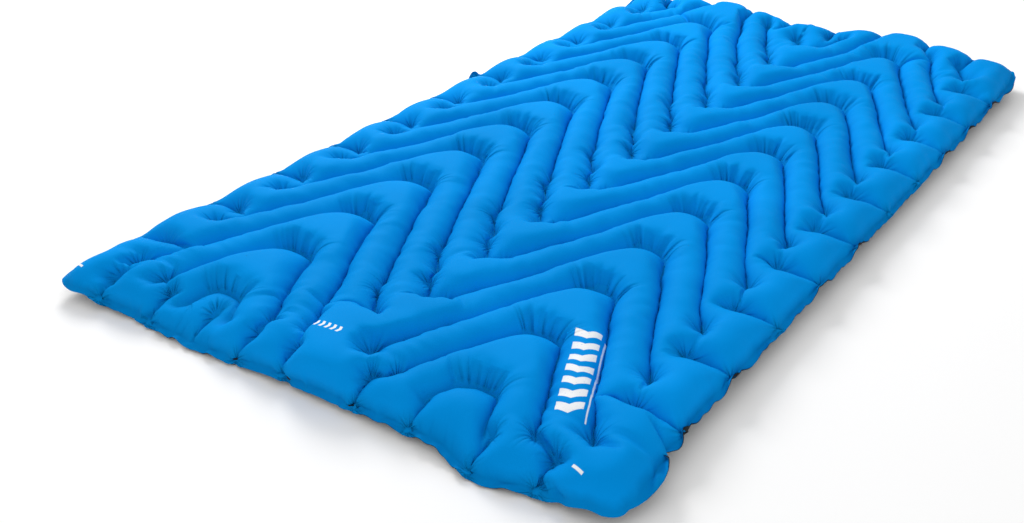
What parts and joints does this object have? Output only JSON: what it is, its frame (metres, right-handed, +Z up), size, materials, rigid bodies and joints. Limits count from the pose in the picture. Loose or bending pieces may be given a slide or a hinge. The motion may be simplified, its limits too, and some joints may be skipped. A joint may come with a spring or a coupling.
{
  "type": "inflatable sleeping pad",
  "caption": "Two-person inflatable sleeping pad with chevron tubes, pillowed side rails and a twist valve under each foot corner.",
  "frame": {"origin": "on the ground under the centre of the pad", "axes": "+X across the pad's width towards the inflate valve's side, +Y along its length from the foot edge to the head edge, +Z up"},
  "size_m": [1.19, 1.88, 0.076],
  "materials": {
    "top_fabric": "blue woven polyester, laminated, semi-matte",
    "bottom_fabric": "dark grey woven polyester, laminated, matte",
    "soft_flange": "soft moulded flange",
    "valve_plastic": "moulded, fine texture",
    "plunger_plastic": "moulded, smooth",
    "seal_rubber": "matte rubber",
    "cap_plastic": "moulded, fine texture",
    "flap_silicone": "translucent soft silicone"
  },
  "bodies": {
    "pad": {"top_sheet": "top_fabric", "bottom_sheet": "bottom_fabric", "inflate_valve_base": "soft_flange", "inflate_valve_body": "valve_plastic", "deflate_valve_base": "soft_flange", "deflate_valve_body": "valve_plastic"},
    "inflate_plunger": {"inflate_plunger": "plunger_plastic", "inflate_seal": "seal_rubber"},
    "inflate_cap": {"inflate_cap": "cap_plastic"},
    "inflate_check": {"inflate_check_flap": "flap_silicone"},
    "deflate_plunger": {"deflate_plunger": "plunger_plastic", "deflate_seal": "seal_rubber"},
    "deflate_cap": {"deflate_cap": "cap_plastic"}
  },
  "joints": [
    {"name": "inflate_lift", "type": "slide", "parent": "pad", "child": "inflate_plunger", "axis": [0.5417, -0.5417, -0.6428], "range_m": [0, 0.004]},
    {"name": "inflate_twist", "type": "hinge", "parent": "inflate_plunger", "child": "inflate_cap", "pos_m": [0.5598, -0.9048, 0.021], "axis": [0.5417, -0.5417, -0.6428], "range_deg": [0, 180]},
    {"name": "inflate_check", "type": "slide", "parent": "pad", "child": "inflate_check", "axis": [-0.5417, 0.5417, 0.6428], "range_m": [0, 0.0015]},
    {"name": "deflate_lift", "type": "slide", "parent": "pad", "child": "deflate_plunger", "axis": [-0.5417, -0.5417, -0.6428], "range_m": [0, 0.004]},
    {"name": "deflate_twist", "type": "hinge", "parent": "deflate_plunger", "child": "deflate_cap", "pos_m": [-0.5598, -0.9048, 0.021], "axis": [-0.5417, -0.5417, -0.6428], "range_deg": [0, 180]}
  ],
  "couplings": [
    {"joint": "inflate_twist", "follows": "inflate_lift", "rad_per_m": 785},
    {"joint": "deflate_twist", "follows": "deflate_lift", "rad_per_m": 785}
  ]
}
